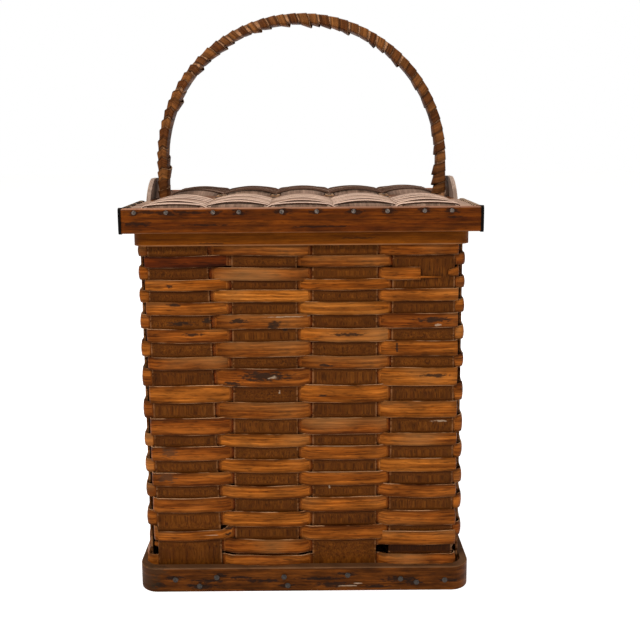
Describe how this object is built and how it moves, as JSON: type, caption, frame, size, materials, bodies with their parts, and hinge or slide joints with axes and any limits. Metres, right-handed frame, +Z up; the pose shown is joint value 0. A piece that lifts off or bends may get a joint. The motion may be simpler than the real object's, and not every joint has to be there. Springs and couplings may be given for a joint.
{
  "type": "picnic basket",
  "caption": "Tall woven splint basket with a fixed wrapped bow handle, a nailed base hoop and overhanging lids hinged to a centre board",
  "frame": {"origin": "on the ground in the middle of the base", "axes": "X along the long wall to the right, Y from front to back, Z up"},
  "size_m": [0.2372, 0.1782, 0.4024],
  "materials": {
    "tack_iron": "dark rusted iron",
    "wall_weaver_splint": "orange brown varnished splint with lengthwise grain",
    "wall_stake_splint": "dark red brown varnished splint with upright grain",
    "board_wood": "brown varnished board",
    "rim_wood": "red brown varnished bent wood",
    "rail_wood": "red brown varnished rail with dark stains",
    "bent_wood": "brown bent wood",
    "handle_wrap_splint": "dark brown wound splint over a tan lining",
    "lid_splint": "grey tan worn splint",
    "lashing_splint": "tan and dark splint"
  },
  "bodies": {
    "basket": {"back_stake_1": "wall_stake_splint", "back_stake_2": "wall_stake_splint", "back_stake_3": "wall_stake_splint", "back_stake_4": "wall_stake_splint", "base_board": "board_wood", "base_courses": "wall_weaver_splint", "base_hoop": "rim_wood", "base_tacks": "tack_iron", "board_tacks": "tack_iron", "centre_board": "board_wood", "front_stake_1": "wall_stake_splint", "front_stake_2": "wall_stake_splint", "front_stake_3": "wall_stake_splint", "front_stake_4": "wall_stake_splint", "handle_hoop": "bent_wood", "handle_wrap": "handle_wrap_splint", "hinge_straps": "lashing_splint", "inner_rim": "rim_wood", "left_ear": "rim_wood", "left_stake_1": "wall_stake_splint", "left_stake_2": "wall_stake_splint", "left_stake_3": "wall_stake_splint", "outer_rim": "rim_wood", "right_ear": "rim_wood", "right_stake_1": "wall_stake_splint", "right_stake_2": "wall_stake_splint", "right_stake_3": "wall_stake_splint", "rim_tacks": "tack_iron", "weaver_courses_11_12": "wall_weaver_splint", "weaver_courses_13_14": "wall_weaver_splint", "weaver_courses_15_16": "wall_weaver_splint", "weaver_courses_17_18": "wall_weaver_splint", "weaver_courses_19_20": "wall_weaver_splint", "weaver_courses_1_2": "wall_weaver_splint", "weaver_courses_21_22": "wall_weaver_splint", "weaver_courses_23_25": "wall_weaver_splint", "weaver_courses_3_4": "wall_weaver_splint", "weaver_courses_5_6": "wall_weaver_splint", "weaver_courses_7_8": "wall_weaver_splint", "weaver_courses_9_10": "wall_weaver_splint"},
    "front_lid": {"front_lid_battens": "rail_wood", "front_lid_hinge_rod": "bent_wood", "front_lid_lashing": "lashing_splint", "front_lid_rail": "rail_wood", "front_lid_side_rails": "rail_wood", "front_lid_stakes": "lid_splint", "front_lid_tacks": "tack_iron", "front_lid_weavers": "lid_splint"},
    "back_lid": {"back_lid_battens": "rail_wood", "back_lid_hinge_rod": "bent_wood", "back_lid_lashing": "lashing_splint", "back_lid_rail": "rail_wood", "back_lid_side_rails": "rail_wood", "back_lid_stakes": "lid_splint", "back_lid_tacks": "tack_iron", "back_lid_weavers": "lid_splint"}
  },
  "joints": [
    {"name": "front_lid_hinge", "type": "hinge", "parent": "basket", "child": "front_lid", "pos_m": [0, -0.0215, 0.26442], "axis": [-1, 0, 0], "range_deg": [0, 95]},
    {"name": "back_lid_hinge", "type": "hinge", "parent": "basket", "child": "back_lid", "pos_m": [0, 0.0215, 0.26442], "axis": [1, 0, 0], "range_deg": [0, 95]}
  ]
}
